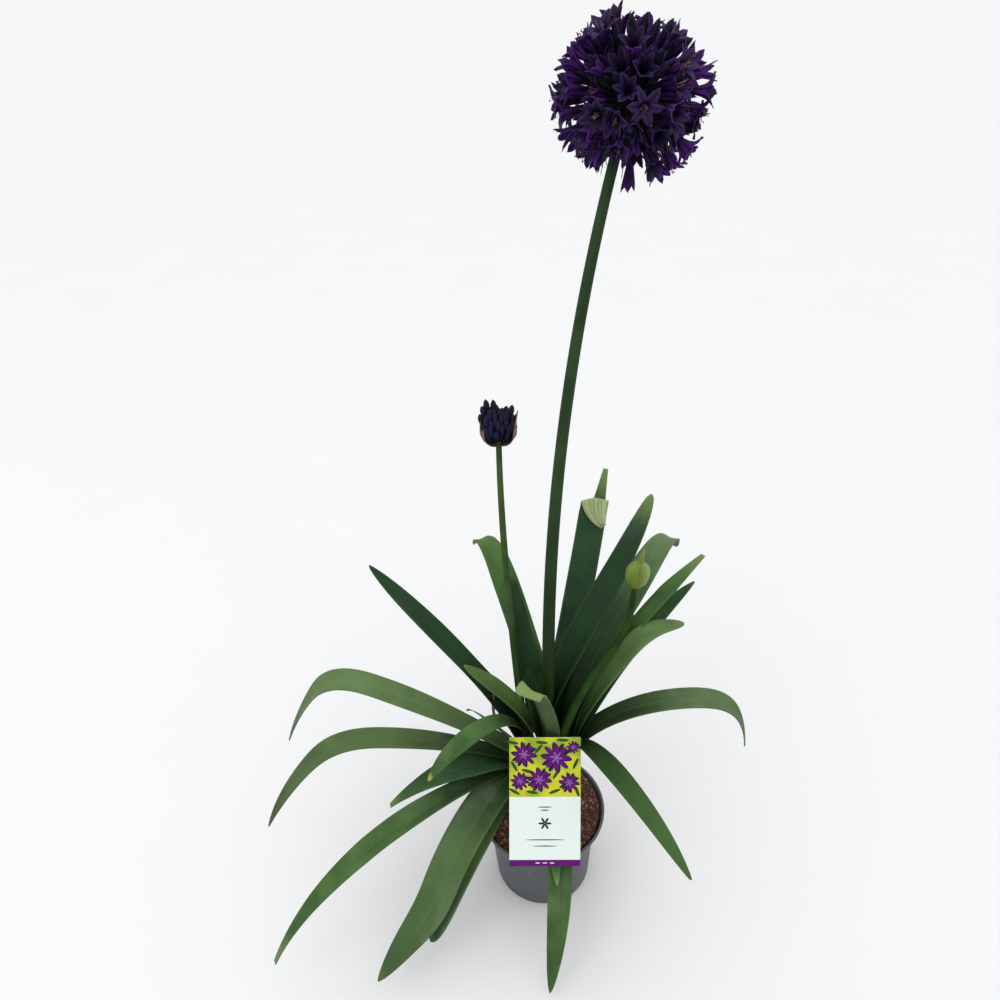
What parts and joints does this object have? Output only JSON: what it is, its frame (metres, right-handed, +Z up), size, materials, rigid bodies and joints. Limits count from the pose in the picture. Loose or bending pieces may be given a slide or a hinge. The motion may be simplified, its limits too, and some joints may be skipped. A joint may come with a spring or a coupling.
{
  "type": "potted agapanthus",
  "caption": "Agapanthus in a round nursery pot: arching strap leaves, a tall stem with an open flower head, a stem of buds, a closed bud, and a plant label.",
  "frame": {"origin": "centre of the pot's underside, on the surface the pot stands on", "axes": "+Z up along the pot's axis, -Y towards the side that the label faces, +X to that side's right"},
  "size_m": [0.6431, 0.3931, 1.0485],
  "materials": {
    "leaf_blade": "leathery strap leaf, dark green with a pale keel and a soft sheen",
    "leaf_base": "sheathing leaf bases, paler green",
    "flower_stem": "smooth solid green stem",
    "flower_head": "dark violet tepals with a near-black midvein",
    "flower_bud": "navy-black buds, waxy",
    "papery_bract": "dry papery bract, tan",
    "closed_bud": "yellow-green bract shut over the buds",
    "dry_strip": "withered leaf strip",
    "pot_plastic": "thin moulded grey plastic",
    "potting_soil": "crumbly peat and fine bark",
    "label_card": "printed plastic card: pale panel, yellow-green picture ground, purple foot band"
  },
  "bodies": {
    "root": {"bract_left": "papery_bract", "bract_right": "papery_bract", "bud_cluster": "flower_bud", "closed_bud": "closed_bud", "crown": "leaf_base", "dry_strip_1": "dry_strip", "dry_strip_2": "dry_strip", "flower_head": "flower_head", "flower_stem_budding": "flower_stem", "flower_stem_short": "flower_stem", "flower_stem_tall": "flower_stem", "label": "label_card", "leaf_left_1": "leaf_blade", "leaf_left_2": "leaf_blade", "leaf_left_3": "leaf_blade", "leaf_left_4": "leaf_blade", "leaf_left_5": "leaf_blade", "leaf_left_6": "leaf_blade", "leaf_left_7": "leaf_blade", "leaf_left_8": "leaf_blade", "leaf_left_9": "leaf_blade", "leaf_middle_1": "leaf_blade", "leaf_middle_2": "leaf_blade", "leaf_middle_3": "leaf_blade", "leaf_middle_4": "leaf_blade", "leaf_middle_5": "leaf_blade", "leaf_middle_6": "leaf_blade", "leaf_middle_7": "leaf_blade", "leaf_middle_8": "leaf_blade", "leaf_right_1": "leaf_blade", "leaf_right_2": "leaf_blade", "leaf_right_3": "leaf_blade", "leaf_right_4": "leaf_blade", "leaf_right_5": "leaf_blade", "leaf_right_6": "leaf_blade", "pot": "pot_plastic", "soil": "potting_soil"}
  },
  "joints": []
}
